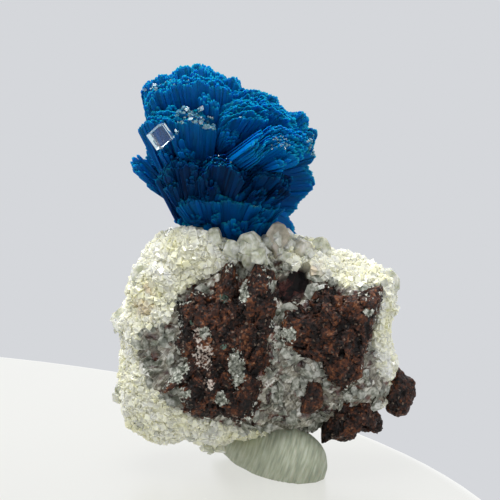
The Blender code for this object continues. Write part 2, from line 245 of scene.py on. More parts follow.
def inStones(points, margin):
    return np.any([isInside(stone, points, margin) for stone in basalts.values()], axis=0)


def bodySurface(body):
    # the same lumps as the solid has
    directions, faces = ballMesh(body["detail"])
    points = np.array(body["centre"]) + directions * reach(body, directions)[:, None]
    shift = Vector((body["seed"], body["seed"] * 2, 0))
    lumps = np.array([noise.fractal(Vector(p) * 0.4 + shift, 0.7, 2.1, 3) for p in points])
    return points + directions * (lumps * body["roughness"])[:, None], faces


def faceNormals(points, faces):
    # as long as twice the face's area
    corners = points[faces]
    return np.cross(corners[:, 1] - corners[:, 0], corners[:, 2] - corners[:, 0])


def pointNormals(points, faces):
    normals = np.zeros_like(points)
    across = faceNormals(points, faces)
    for k in range(3):
        np.add.at(normals, faces[:, k], across)
    return unit(normals)


def softBumps(points, size, octaves=3):
    return np.array([noise.fractal(Vector(p) / size, 0.8, 2.0, octaves) for p in points])


def brokenFaces(points, sizes, tilts):
    # flat chips: each cell of the stone breaks along its own plane, of the larger size and then
    # of the smaller
    heights = np.zeros(len(points))
    for size, tilt in zip(sizes, tilts):
        for k, p in enumerate(points):
            cell = noise.voronoi(Vector(p) / size)[1][0] * size
            lean = noise.cell_vector(cell * 7.3 / size) - Vector((0.5, 0.5, 0.5))
            heights[k] += (Vector(p) - cell).dot(lean) * tilt + lean.x * 0.25 * size * tilt
    return heights


def spotStrength(points, spots, seed):
    # 1 inside the spots, X, Z, half width, half height, with ragged borders, 0 away from them
    # and on the back
    x, y, z = points.T
    ragged = softBumps(points + seed, 0.7, 4) * 0.45
    strength = np.zeros(len(points))
    for spotX, spotZ, halfWidth, halfHeight in spots:
        far = np.hypot((x - spotX) / halfWidth, (z - spotZ) / halfHeight)
        strength = np.maximum(strength, np.clip((1.3 - far + ragged) * 1.5, 0, 1))
    return strength * (y < -1.5)


def scatter(points, faces, count, rng):
    # random places on a surface with their normals, as many to each square millimetre
    across = faceNormals(points, faces)
    area = np.linalg.norm(across, axis=1)
    chosen = rng.choice(len(faces), count, p=area / area.sum())
    a, b = rng.random((2, count))
    a, b = np.where(a + b > 1, 1 - a, a), np.where(a + b > 1, 1 - b, b)
    corners = points[faces][chosen]
    places = corners[:, 0] + (corners[:, 1] - corners[:, 0]) * a[:, None]
    places += (corners[:, 2] - corners[:, 0]) * b[:, None]
    return places, unit(across[chosen])


def turnedTo(outward, rng):
    # for each crystal three axes, the last one along its outward direction, spun at random
    up = unit(outward)
    helper = np.where(np.abs(up[:, 2:]) > 0.9, (1.0, 0.0, 0.0), (0.0, 0.0, 1.0))
    first = unit(np.cross(helper, up))
    second = np.cross(up, first)
    spins = rng.uniform(0, math.tau, len(up))
    c, s = np.cos(spins)[:, None], np.sin(spins)[:, None]
    return np.stack([first * c + second * s, second * c - first * s, up], axis=1)


def addCrystals(name, shape, places, axes, scales, material, box):
    # one mesh of many crystals cut off at a box: scales has three sizes for each
    corners, shapeFaces = shape
    points = places[:, None] + np.einsum("nki,nij->nkj", corners[None] * scales[:, None], axes)
    size = len(corners)
    faces = [[v + size * k for v in face] for k in range(len(places)) for face in shapeFaces]
    return addMesh(name, np.clip(points.reshape(-1, 3), *box), faces, material)


def rhombShape():
    # a cube of edge 1 on its corner: stretched along Z it is a calcite rhomb
    steps = [math.tau * k / 3 for k in range(3)]
    lean = math.sqrt(2 / 3)
    edges = np.array([(lean * math.cos(t), lean * math.sin(t), math.sqrt(1 / 3)) for t in steps])
    corners = [(x, y, z) for z in (-0.5, 0.5) for y in (-0.5, 0.5) for x in (-0.5, 0.5)]
    faces = [(0, 2, 3, 1), (4, 5, 7, 6), (0, 1, 5, 4), (2, 6, 7, 3), (0, 4, 6, 2), (1, 3, 7, 5)]
    return np.array(corners) @ edges, faces


def flatTopped(top):
    # the same crystal with its upper corner cut off flat at that height
    points, faces = rhombShape()
    shell = bmesh.new()
    corners = [shell.verts.new(point) for point in points]
    for face in faces:
        shell.faces.new([corners[v] for v in face])
    parts = shell.verts[:] + shell.edges[:] + shell.faces[:]
    bmesh.ops.bisect_plane(
        shell, geom=parts, plane_co=(0, 0, top), plane_no=(0, 0, 1), clear_outer=True
    )
    bmesh.ops.holes_fill(shell, edges=shell.edges[:])
    shell.verts.index_update()
    points = np.array([corner.co for corner in shell.verts])
    faces = [[corner.index for corner in face.verts] for face in shell.faces]
    shell.free()
    return points, faces


# Materials

materials = {}
finishes = {
    # the grown-together roots of the blades: the same mineral, too thick to let light through
    "cavansiteRoots": {
        "veils": (0.8, 4.0),
        "colours": [(0.3, "#00091C"), (0.7, "#00203F")],
        "shader": {"Roughness": 0.6, "IOR": 1.54, "Specular IOR Level": 0.0},
    },
    # calcite druse, many small clear crystals over each other: reads as pale cream sugar with
    # greenish and tan patches and bright glints
    "calciteSugar": {
        "veils": (3.0, 3.0),
        "colours": [(0.25, "#F2EEC2"), (0.5, "#FAF7DA"), (0.75, "#FDFCEE")],
        "tan": "#CDB295",
        "shader": {
            "Roughness": 0.15, "IOR": 1.6, "Transmission Weight": 0.12, "Subsurface Weight": 0.6,
            "Subsurface Radius": (1.0, 0.95, 0.75), "Subsurface Scale": 0.25 * mm,
        },
    },
    # clear calcite with polished faces: what is behind it shows through, bright along its edges. Its
    # pale blue tint is painted light, standing in for the blue of the blades seen through it
    "calciteClear": {
        "veils": (0.9, 4.0),
        "colours": [(0.35, "#C4E2EC"), (0.6, "#E2F3F8")],
        "varied": ("Roughness", (0.0, 1.0), (0.0, 0.02)),
        "shader": {"IOR": 1.49, "Transmission Weight": 1.0},
    },
    # cloudy calcite grown as single crystals: half clear, half milky, so that it stays bright
    # where there is stone behind it
    "calciteCloudy": {
        "veils": (0.6, 4.0),
        "colours": [(0.35, "#C9CBB8"), (0.5, "#E6E7DA"), (0.7, "#FAFAF6")],
        "varied": ("Roughness", (0.0, 1.0), (0.05, 0.25)),
        "shader": {"IOR": 1.6, "Transmission Weight": 0.5},
    },
    # larger calcite crystals: nearly clear with faint milky veils, so that the stone behind
    # softens in them and their edges catch the light
    "calciteWatery": {
        "veils": (0.8, 4.0),
        "colours": [(0.35, "#E9ECCF"), (0.5, "#F4F5E2"), (0.7, "#FCFCF4")],
        "tan": "#B7A08C",
        "varied": ("Transmission Weight", (0.35, 0.65), (0.7, 0.32)),
        "shader": {
            "Roughness": 0.1, "IOR": 1.6, "Subsurface Weight": 0.6,
            "Subsurface Radius": (1.0, 0.95, 0.8), "Subsurface Scale": 0.4 * mm,
        },
    },
    # chips of grey calcite in the broken front: smoky glass with white fracture lines
    "calciteFracture": {
        "veils": (0.5, 5.0),
        "colours": [(0.35, "#6C7062"), (0.5, "#A0A294"), (0.62, "#DCDCD0")],
        "shader": {"Roughness": 0.12, "IOR": 1.6, "Transmission Weight": 0.35},
    },
    # single small crystals of clear calcite on the blades: glints from white to the blue below. The teal
    # of their colour is painted light, standing in for the blue blades seen through them
    "calciteGlint": {
        "veils": (0.4, 1.0),
        "colours": [(0.3, "#6FC0D2"), (0.55, "#A8DEE8"), (0.75, "#FFFFFF")],
        "shader": {"Roughness": 0.03, "IOR": 1.6, "Transmission Weight": 0.8},
    },
    # white glazed dish the specimen stands on: even white, most of it emitted so that shadows
    # on it stay faint, with a soft reflection near the putty
    "whiteGlaze": {
        "veils": (30, 2.0),
        "colours": [(0.3, "#464643"), (0.7, "#4A4A46")],
        "shader": {
            "Roughness": 0.3, "IOR": 1.5,
            "Emission Color": linearColour("#F4F4F0"), "Emission Strength": 0.67,
        },
    },
}


def startMaterial(name):
    # what adds a node to it, its shader and the object's own coordinates
    materials[name] = bpy.data.materials.new(name)
    materials[name].use_nodes = True
    tree = materials[name].node_tree
    add = partial(addNode, tree)
    return add, tree.nodes["Principled BSDF"], add("TexCoord", "Object")


def veiledMaterial(name, finish):
    # veils, of a size in millimetres and a detail, set the colour and may vary one shader value
    add, shader, place = startMaterial(name)
    size, detail = finish["veils"]
    veils = add("TexNoise", "Fac", {"Vector": place, "Scale": 1 / (size * mm), "Detail": detail})
    colour = add("ValToRGB", "Color", {"Fac": veils}, stops=finish["colours"])
    if "tan" in finish:
        tan = add("Attribute", "Fac", attribute_name="tan")
        colour = add("Mix", 2, {0: tan, 6: colour, 7: linearColour(finish["tan"])}, data_type="RGBA")
    setInputs(shader, {"Base Color": colour, **finish["shader"]})
    if "varied" in finish:
        socket, given, wanted = finish["varied"]
        varied = add("MapRange", "Result", {
            "Value": veils, "From Min": given[0], "From Max": given[1],
            "To Min": wanted[0], "To Max": wanted[1],
        })
        setInputs(shader, {socket: varied})


def cavansiteMaterial():
    # cavansite, a glassy vanadium silicate in fine blades: deep blue in the body, paler and
    # greener where a blade ends and light comes through it
    add, shader, place = startMaterial("cavansiteBlades")
    along = add("Attribute", "Fac", attribute_name="along")
    light = add("Attribute", "Fac", attribute_name="light")
    patches = add("TexNoise", "Fac", {"Vector": place, "Scale": 1 / (2.5 * mm), "Detail": 3.0})
    shift = add("Math", "Value", {0: patches, 1: 0.24, 2: -0.12}, operation="MULTIPLY_ADD")
    level = add("Math", "Value", {0: along, 1: shift}, operation="ADD")
    colour = add("ValToRGB", "Color", {"Fac": level}, stops=[
        (0.0, "#001F48"), (0.4, "#004890"), (0.8, "#005CAA"), (0.94, "#006CB0"), (1.0, "#0F90B4"),
    ])
    # the blade's light value darkens its colour toward near-black navy: its own tone, and painted shade
    # on the low front fans that lie under the heads above
    deep = add("Mix", 2, {0: light, 6: linearColour("#001B3E"), 7: colour}, data_type="RGBA")
    setInputs(shader, {
        "Base Color": deep,
        "Roughness": 0.35, "IOR": 1.54,
        "Specular IOR Level": 0.0, "Transmission Weight": 0.1,
        "Subsurface Weight": 0.6, "Subsurface Radius": (0.1, 0.5, 1.0), "Subsurface Scale": 0.4 * mm,
    })


def massiveMaterial():
    # the massive calcite under the crystals: cloudy cream, grey and glassy where it is broken,
    # with rock showing through in places and a dull pit painted near black: painted shade in the hollow,
    # its reddish flecks painted glints
    add, shader, place = startMaterial("calciteMassive")
    grain = add("TexNoise", "Fac", {"Vector": place, "Scale": 1 / (0.7 * mm), "Detail": 5.0})
    cells = add("TexVoronoi", "Color", {"Vector": place, "Scale": 1 / (0.8 * mm)})
    facet = add("SeparateColor", "Red", {"Color": cells})
    drawn = add("Mapping", "Vector", {
        "Vector": place, "Rotation": (0.0, 0.7, 0.0), "Scale": (0.5, 1.0, 2.0),
    }, vector_type="TEXTURE")
    veils = add("TexNoise", "Fac", {
        "Vector": drawn, "Scale": 1 / (0.45 * mm), "Detail": 5.0, "Roughness": 0.65,
    })
    level = add("Mix", 0, {0: 0.7, 2: facet, 3: veils})
    colour = add("ValToRGB", "Color", {"Fac": grain}, stops=[
        (0.3, "#D3D1B4"), (0.7, "#E6E4D0"),
    ])
    for name, pattern, stops in (
        ("broken", level, [(0.3, "#3A3830"), (0.44, "#757163"), (0.56, "#A39F90"), (0.7, "#E6E4DA")]),
        ("brown", grain, [(0.35, "#1C0E0C"), (0.5, "#40201A"), (0.65, "#653424")]),
        # the pit: near black as painted shade in the hollow, with reddish flecks as painted glints
        ("pit", level, [(0.42, "#0C0405"), (0.55, "#2C0E10"), (0.68, "#6A3A30")]),
    ):
        where = add("Attribute", "Fac", attribute_name=name)
        other = add("ValToRGB", "Color", {"Fac": pattern}, stops=stops)
        colour = add("Mix", 2, {0: where, 6: colour, 7: other}, data_type="RGBA")
    # the last of them is the pit
    dull = add("MapRange", "Result", {"Value": where, "To Min": 0.2, "To Max": 0.85})
    setInputs(shader, {
        "Base Color": colour,
        "Roughness": dull, "IOR": 1.6,
        "Subsurface Weight": 0.3, "Subsurface Radius": (1.0, 0.95, 0.8), "Subsurface Scale": 0.8 * mm,
    })


def basaltMaterial():
    # weathered basalt, rust-stained: grains of red-brown and orange between near-black ones, with
    # windows of grey glassy calcite, pinkish stripes and a little green celadonite
    add, shader, place = startMaterial("basaltWeathered")
    grains = add("TexVoronoi", "Color", {"Vector": place, "Scale": 1 / (0.18 * mm)})
    drawn = add("Mapping", "Vector", {
        "Vector": place, "Rotation": (0.0, 0.25, 0.0), "Scale": (0.7, 1.0, 1.6),
    }, vector_type="TEXTURE")
    stain = add("TexNoise", "Fac", {
        "Vector": drawn, "Scale": 1 / (1.3 * mm), "Detail": 6.0, "Roughness": 0.7,
    })
    red, green, blue = add("SeparateColor", None, {"Color": grains})
    level = add("Mix", 0, {0: 0.75, 2: red, 3: stain})
    # the rough surface's height shifts the colour: painted shade and light, hollows darker and ridges
    # lighter
    reliefShade = add("Attribute", "Fac", attribute_name="reliefShade")
    height = add("Math", "Value", {0: reliefShade, 1: 0.3, 2: level}, operation="MULTIPLY_ADD")
    colour = add("ValToRGB", "Color", {"Fac": height}, stops=[
        (0.35, "#0B0807"), (0.47, "#21130E"), (0.56, "#3B2015"), (0.66, "#5C321A"), (0.8, "#8A5E3E"),
    ])
    fine = add("TexNoise", "Fac", {"Vector": place, "Scale": 1 / (0.25 * mm), "Detail": 3.0})
    glass = add("ValToRGB", "Color", {"Fac": fine}, stops=[
        (0.35, "#4C4F47"), (0.5, "#868A7E"), (0.65, "#D6D8CC"),
    ])
    pink = add("ValToRGB", "Color", {"Fac": fine}, stops=[
        (0.4, "#4A3028"), (0.48, "#9A867A"), (0.6, "#CFC5BA"),
    ])
    pale = add("MapRange", "Result", {"Value": blue, "From Min": 0.96, "From Max": 0.98, "To Max": 0.5})
    colour = add("Mix", 2, {0: pale, 6: colour, 7: linearColour("#8B7866")}, data_type="RGBA")
    for name, other in (("glassy", glass), ("pinkish", pink), ("greenish", linearColour("#566B5E"))):
        where = add("Attribute", "Fac", attribute_name=name)
        ragged = add("Math", "Value", {0: fine, 1: 1.6, 2: where}, operation="MULTIPLY_ADD")
        edge = add("MapRange", "Result", {
            "Value": ragged, "From Min": 1.25, "From Max": 1.5,
        }, interpolation_type="SMOOTHSTEP")
        colour = add("Mix", 2, {0: edge, 6: colour, 7: other}, data_type="RGBA")
    rough = add("MapRange", "Result", {"Value": green, "To Min": 0.35, "To Max": 0.8})
    setInputs(shader, {"Base Color": colour, "Roughness": rough, "IOR": 1.6, "Specular IOR Level": 0.2})


def puttyMaterial():
    # mounting putty, pulled and pressed by hand: dull grey-green with fine drawn-out lines
    add, shader, place = startMaterial("puttyPressed")
    drawn = add("Mapping", "Vector", {
        "Vector": place, "Rotation": (0.0, 0.33, 0.0), "Scale": (1.0, 8.0, 8.0),
    }, vector_type="TEXTURE")
    lines = add("TexNoise", "Fac", {"Vector": drawn, "Scale": 1 / (0.2 * mm), "Detail": 3.0})
    colour = add("ValToRGB", "Color", {"Fac": lines}, stops=[
        (0.3, "#878D7B"), (0.5, "#9CA18A"), (0.7, "#B2B6A3"),
    ])
    bump = add("Bump", "Normal", {"Height": lines, "Strength": 0.4, "Distance": 0.1 * mm})
    setInputs(shader, {
        "Base Color": colour, "Normal": bump,
        "Roughness": 0.55, "IOR": 1.48,
        "Subsurface Weight": 0.1, "Subsurface Scale": 0.5 * mm,
    })


for name, finish in finishes.items():
    veiledMaterial(name, finish)
cavansiteMaterial()
massiveMaterial()
basaltMaterial()
puttyMaterial()
print("materials made")


# Cavansite rosette

rosette = {
    # fans of blades: root, lightness (the fan's own tone, with painted shade on the low front fans),
    # thickness, rise of the head to the back, and the rim
    "fans": [
        ((-5.6, 0.6, 27.4), 0.95, 1.5, 0.0, [
            (-10.6, 0.4, 34.4), (-10.5, 0.7, 35.2), (-9.7, 0.9, 35.7), (-9.2, 1.0, 36.1),
            (-8.2, 1.0, 36.1), (-7.5, 1.4, 36.7), (-6.5, 2.0, 36.7), (-6.1, 3.0, 36.8),
            (-4.8, 3.4, 36.8), (-4.5, 2.2, 36.4), (-3.6, 1.2, 36.2), (-3.0, 1.0, 35.8),
            (-2.4, 1.0, 36.0), (-1.9, 0.8, 35.0)]),
        ((-5.8, -0.6, 27.4), 0.9, 1.2, 0.15, [
            (-10.5, -1.6, 33.8), (-9.9, -2.1, 35.0), (-8.3, -2.5, 35.8), (-6.3, -2.6, 36.3),
            (-4.3, -2.5, 36.0), (-2.7, -2.2, 35.2)]),
        ((-4.3, 0.6, 27.8), 0.9, 1.5, 0.0, [
            (-2.2, 0.3, 35.0), (-1.0, 0.5, 34.9), (0.0, 0.5, 34.8), (0.8, 0.5, 34.4),
            (1.5, 0.5, 34.1), (1.7, 0.4, 33.5), (2.5, 0.3, 32.9), (3.9, 0.1, 32.9),
            (4.2, 0.0, 32.0), (4.2, 0.0, 31.4)]),
        ((-4.5, -0.8, 27.7), 0.8, 1.5, 0.15, [
            (-3.2, -2.4, 34.1), (-1.6, -3.0, 34.4), (0.2, -3.0, 34.0), (1.8, -2.8, 33.1),
            (3.2, -2.0, 31.7)]),
        ((-2.3, 0.6, 26.1), 0.7, 1.8, 0.0, [
            (4.2, 0.0, 31.4), (5.0, 0.0, 31.2), (4.9, 0.1, 30.3), (4.6, 0.2, 29.3),
            (4.9, 0.3, 28.8), (4.3, 0.4, 28.0), (4.8, 0.5, 27.0), (4.8, 0.5, 26.1),
            (4.4, 0.6, 25.4), (3.5, 0.8, 24.7), (3.2, 0.9, 23.8), (2.4, 1.0, 23.2)]),
        ((-6.5, -0.8, 25.5), 0.75, 2.0, 0.25, [
            (-11.1, -1.4, 31.6), (-10.2, -3.0, 32.5), (-8.7, -4.1, 32.9), (-6.8, -4.7, 33.0),
            (-5.2, -4.5, 32.6), (-4.0, -3.8, 31.8)]),
        ((-4.5, -1.2, 27.8), 0.7, 1.6, 0.4, [
            (-3.4, -3.9, 32.4), (-2.2, -4.2, 33.3), (-0.7, -4.2, 33.4), (0.6, -3.8, 32.9)]),
        ((-3.1, -1.6, 26.4), 1.0, 2.2, 0.45, [
            (0.0, -5.0, 29.6), (0.7, -5.3, 30.5), (1.8, -5.3, 30.7), (3.0, -4.8, 30.2),
            (3.7, -3.9, 29.2)]),
        ((-7.6, 0.5, 24.2), 0.9, 1.2, 0.0, [
            (-11.5, 0.6, 27.9), (-12.1, 0.6, 28.5), (-11.7, 0.6, 28.7), (-10.8, 0.5, 28.3)]),
        ((-5.9, 0.6, 22.8), 0.75, 1.8, 0.0, [
            (-10.4, 0.3, 27.2), (-9.4, 0.4, 26.0), (-8.6, 0.5, 25.0), (-8.2, 0.6, 24.0),
            (-8.1, 0.6, 22.9)]),
        # these three low front fans are set near black: painted shade, under the heads of the fans above
        ((-6.8, -1.6, 23.8), 0.16, 1.6, 0.1, [
            (-9.4, -2.6, 27.2), (-8.4, -4.2, 28.6), (-6.9, -4.8, 29.1), (-5.7, -4.8, 28.6)]),
        ((-4.3, -2.0, 23.9), 0.1, 1.6, 0.1, [
            (-5.6, -4.9, 27.7), (-4.3, -5.5, 29.1), (-2.8, -5.5, 29.1), (-1.5, -5.0, 27.8)]),
        ((-1.8, -1.4, 23.6), 0.1, 1.6, 0.1, [
            (-1.5, -4.5, 27.0), (0.0, -4.7, 28.1), (1.6, -4.2, 27.8), (2.8, -3.0, 26.3)]),
        ((-3.4, -0.6, 21.6), 0.5, 1.4, 0.15, [
            (-7.9, -2.4, 24.9), (-6.5, -3.6, 25.6), (-4.5, -4.2, 25.9), (-2.3, -4.1, 25.7),
            (-0.2, -3.5, 25.3), (2.0, -1.8, 24.5)]),
        ((-2.4, -0.6, 20.4), 0.85, 1.4, 0.15, [
            (-7.4, -1.0, 22.9), (-5.6, -1.9, 23.5), (-3.2, -2.5, 23.8), (-0.6, -2.3, 23.6),
            (1.6, -1.0, 23.2)]),
    ],
    # how far blades reach as seen from the camera: X and picture height, which is this share of
    # X, Y and Z
    "viewHeight": (0, 0.208, 0.978),
    "outlineCentre": (-3.3, 29.0),
    "outline": [
        (-6.3, 36.4), (-6.2, 36.6), (-4.8, 36.8), (-4.5, 36.2), (-4.1, 35.9), (-3.6, 35.7),
        (-3.0, 35.3), (-2.4, 35.5), (-2.0, 35.2), (-1.9, 34.4), (-1.0, 34.2), (0.0, 34.1),
        (0.7, 33.8), (1.5, 33.5), (1.6, 32.9), (2.5, 32.3), (3.9, 32.2), (4.2, 31.6),
        (4.2, 30.8), (5.0, 30.6), (4.9, 29.7), (4.6, 28.8), (4.9, 28.3), (4.3, 27.5),
        (4.8, 26.5), (4.8, 25.7), (4.4, 25.0), (3.5, 24.3), (3.2, 23.5), (2.4, 22.9),
        (2.5, 21.5), (3.4, 20.8), (0.0, 19.9), (-3.8, 20.5), (-7.2, 21.2), (-7.9, 22.2),
        (-8.1, 23.3), (-8.5, 24.2), (-9.1, 24.8), (-10.2, 25.9), (-11.4, 26.9), (-12.1, 27.7),
        (-11.8, 28.1), (-10.7, 28.2), (-10.9, 29.1), (-11.1, 30.4), (-11.0, 31.2), (-10.4, 31.7),
        (-10.5, 32.5), (-10.8, 33.9), (-10.7, 34.8), (-9.8, 35.2), (-9.3, 35.6), (-8.3, 35.6),
        (-7.6, 36.2), (-7.3, 36.4),
    ],
    # tips may pass the solid's box by this much; blades past the outline get shorter in steps
    "pastLow": (0.3, 0.3, 0), "pastHigh": (0.5, 0.3, -0.1),
    "shortenings": 14, "shortenedTo": 0.95,
    # the back is covered by fans of one kind, at the rear ones of so many places round the core
    "backPlaces": 66, "backLeast": 0.2, "backLowest": -0.65,
    "backSpread": (26, 42), "backRise": 1.3, "backDroop": 0.6, "backRoot": 1.2,
    "backLight": (0.5, 0.95), "backThickness": 1.4, "backTilt": 0.2,
    "seed": 21,
    "bladesPerMm": 6,
    "layerStep": 0.3, "depthJitter": 0.28,
    "bundleWidth": (0.2, 0.95), "bundleDepth": 0.1,
    "bladeWidth": (0.2, 0.52), "bladeThickness": (0.08, 0.18),
    "bladePoint": (0.15, 0.4), "bladeTwist": 0.14,
    # shares of a blade's width at its foot and tip, and how far up its colour is at the shoulder
    "bladeFoot": 0.45, "bladeTip": 0.36, "shoulderShade": 0.88,
    "teeth": 0.55, "toothRange": (-1, 0.3), "tipJitter": (-0.16, 0.06),
    "rootWidth": 0.45, "rootJitter": 0.1,
    "lightJitter": 0.1,
    "tufts": 3, "tuftBlades": (8, 26), "tuftSpread": 0.28, "tuftRoot": 0.3,
    "tuftStart": (0.1, 0.4), "tuftEnd": (0.55, 0.92), "tuftLean": (0.2, 0.7),
    # the grown-together roots are a smaller copy of the core with bumps of a size and height
    "coreShare": (0.8, 0.55, 0.82), "coreBumps": (0.8, 0.2),
    # calcite grains on the foremost tips, one to each square of the spacing: X, picture height,
    # half sizes, count, largest edge
    "grainSpacing": 0.25, "grainSizes": (0.35, 1), "grainShape": (0.5, 1.2),
    "grains": [
        (-7.8, 34.4, 2.4, 0.5, 20, 0.12), (-9.9, 34.3, 0.6, 0.4, 6, 0.35),
        (-5.9, 31.0, 1.7, 1.3, 46, 0.42), (-1.9, 31.4, 0.2, 0.2, 4, 0.14),
        (-0.8, 30.5, 0.35, 0.35, 10, 0.14), (-3.6, 27.7, 1.0, 0.45, 10, 0.13),
        (1.6, 29.2, 0.8, 0.6, 26, 0.22), (4.4, 29.4, 0.4, 1.2, 9, 0.3), (-0.6, 23.9, 0.4, 0.5, 4, 0.1),
    ],
}


bladeCorners = 10


def growBlades(roots, tips, outward, widths, thicknesses, points):
    # four-sided blades with a chisel point: narrow at the root, widest at the shoulder, their
    # broad faces turned outward
    along = tips - roots
    length = np.linalg.norm(along, axis=1)
    up = along / length[:, None]
    across = unit(np.cross(outward, up))
    axes = np.stack([across, np.cross(up, across), up], axis=1)
    corners = np.array([(-1, -1), (1, -1), (1, 1), (-1, 1)]) / 2
    count = len(roots)
    local = np.zeros((count, bladeCorners, 3))
    local[:, 0:4, :2] = corners * rosette["bladeFoot"]
    local[:, 4:8, :2] = corners
    local[:, 4:8, 2] = 1.0
    local[:, 8:10, 0] = (-rosette["bladeTip"] / 2, rosette["bladeTip"] / 2)
    local[:, 8:10, 2] = 1.0
    local[:, :, 0] *= widths[:, None]
    local[:, :, 1] *= thicknesses[:, None]
    local[:, 4:8, 2] *= (length - points)[:, None]
    local[:, 8:10, 2] *= length[:, None]
    world = roots[:, None] + np.einsum("nki,nij->nkj", local, axes)
    shape = [
        (0, 1, 5, 4), (1, 2, 6, 5), (2, 3, 7, 6), (3, 0, 4, 7),
        (4, 5, 9, 8), (6, 7, 8, 9), (5, 6, 9), (7, 4, 8), (3, 2, 1, 0),
    ]
    faces = [[v + bladeCorners * k for v in face] for k in range(count) for face in shape]
    values = np.tile([0.0] * 4 + [rosette["shoulderShade"]] * 4 + [1.0] * 2, count)
    return world.reshape(-1, 3), faces, values


def fanBlades(root, light, thickness, rise, rim, rng):
    # layers of blades side by side from one root to a rim, each with its own height, and small
    # tufts that lean out of the front layer
    root, rim = np.array(root), np.array(rim)
    reached = np.append(0, np.cumsum(np.linalg.norm(np.diff(rim, axis=0), axis=1)))

    def onRim(at):
        return np.stack([np.interp(at, reached, rim[:, k]) for k in range(3)], axis=1)

    count = int(reached[-1] * rosette["bladesPerMm"])
    middle = np.array(rosetteCore["centre"])
    step, jitter, bundles = rosette["layerStep"], rosette["depthJitter"], rosette["bundleDepth"]
    nearby = 0.3  # how far apart the places are that give the rim's direction
    # neighbours in a bundle share their depth and height; there are more bundles than fit
    places = np.cumsum(rng.uniform(*rosette["bundleWidth"], int(reached[-1] / 0.5) + 4))
    starts, tips, facing = [], [], []
    for layer in range(max(int(thickness / step), 1)):
        at = (np.arange(count) + rng.random(count)) / count * reached[-1]
        tip = onRim(at)
        start = root + (tip - rim.mean(0)) * rosette["rootWidth"]
        along = unit(tip - start)
        out = unit(np.cross(onRim(at + nearby) - onRim(at - nearby), along))
        if (out * (root + rim.mean(0) - 2 * middle)).sum() < 0:
            out = -out
        depth = (layer + rng.uniform(-jitter, jitter, count)) * step
        depth += np.interp(at, places, rng.uniform(-bundles, bundles, len(places)))
        teeth = np.interp(at, places, rng.uniform(*rosette["toothRange"], len(places)))
        teeth *= rosette["teeth"]
        grown = teeth + rng.uniform(*rosette["tipJitter"], count) + rise * depth
        tips.append(tip - out * depth[:, None] + along * grown[:, None])
        spread = rng.normal(size=(count, 3)) * rosette["rootJitter"]
        starts.append(start - out * depth[:, None] + spread)
        facing.append(out)
    for tuft in range(rosette["tufts"]):
        chosen = rng.integers(len(starts[0]))
        low, high = rng.uniform(*rosette["tuftStart"]), rng.uniform(*rosette["tuftEnd"])
        start, way = starts[0][chosen], tips[0][chosen] - starts[0][chosen]
        out = facing[0][chosen]
        blades = rng.integers(*rosette["tuftBlades"])
        side = rng.normal(size=(blades, 3)) * rosette["tuftSpread"]
        starts.append(start + way * low + side * rosette["tuftRoot"])
        tips.append(start + way * high + out * rng.uniform(*rosette["tuftLean"]) + side)
        facing.append(out + side)
    starts, tips = np.concatenate(starts), np.concatenate(tips)
    # each blade's lightness: its fan's, which is painted shade on the low front fans, with random
    # streaks
    lights = np.clip(light + rng.normal(size=len(tips)) * rosette["lightJitter"], 0, 1)
    return starts, tips, np.concatenate(facing), lights


def backFans(rng):
    # fans round the back of the core, which stand out from it: a rim is an arc over it
    centre = np.array(rosetteCore["centre"])
    fans = []
    total = rosette["backPlaces"]
    for k in range(total):
        # even places on a ball, those in front and below left out
        height = 1 - (k + 0.5) * 2 / total
        turn = k * math.pi * (3 - math.sqrt(5))
        flat = math.sqrt(1 - height * height)
        way = Vector((flat * math.cos(turn), flat * math.sin(turn), height))
        if way.y < rosette["backLeast"] or way.z < rosette["backLowest"]:
            continue
        side = way.orthogonal()
        side.rotate(Quaternion(way, rng.uniform(0, math.pi)))
        spread = math.radians(rng.uniform(*rosette["backSpread"]))
        rim = []
        for step in np.linspace(-1, 1, 7):
            ray = way.copy()
            ray.rotate(Quaternion(side, spread * step))
            far = reach(rosetteCore, np.array([ray]))[0] + rosette["backRise"]
            rim.append(centre + np.array(ray) * (far - rosette["backDroop"] * step * step))
        root, light = centre + np.array(way) * rosette["backRoot"], rng.uniform(*rosette["backLight"])
        fans.append((root, light, rosette["backThickness"], rosette["backTilt"], rim))
    return fans


def addGrains(tips, rng):
    # grains of calcite on the foremost tips of each place
    height = tips @ rosette["viewHeight"]
    cellSize = rosette["grainSpacing"]
    chosen, edges = [], []
    for x, level, halfWidth, halfHeight, grains, edge in rosette["grains"]:
        near = np.abs(tips[:, 0] - x) < halfWidth
        near &= (np.abs(height - level) < halfHeight) & (tips[:, 1] < 1)
        foremost = {}
        for k in np.flatnonzero(near):
            cell = (tips[k, 0] // cellSize, height[k] // cellSize)
            if cell not in foremost or tips[k, 1] < tips[foremost[cell], 1]:
                foremost[cell] = k
        chosen += list(rng.permutation(list(foremost.values()))[:grains])
        edges += list(edge * rng.uniform(*rosette["grainSizes"], len(chosen) - len(edges)))
    count = len(chosen)
    axes = turnedTo(rng.normal(size=(count, 3)), rng)
    sizes = np.array(edges)[:, None] * rng.uniform(*rosette["grainShape"], (count, 3))
    box = inMillimetres(cadBox)
    grains = addCrystals(
        "calciteGrains", rhombShape(), tips[chosen], axes, sizes, "calciteGlint", box
    )
    dress(grains, "calcite")


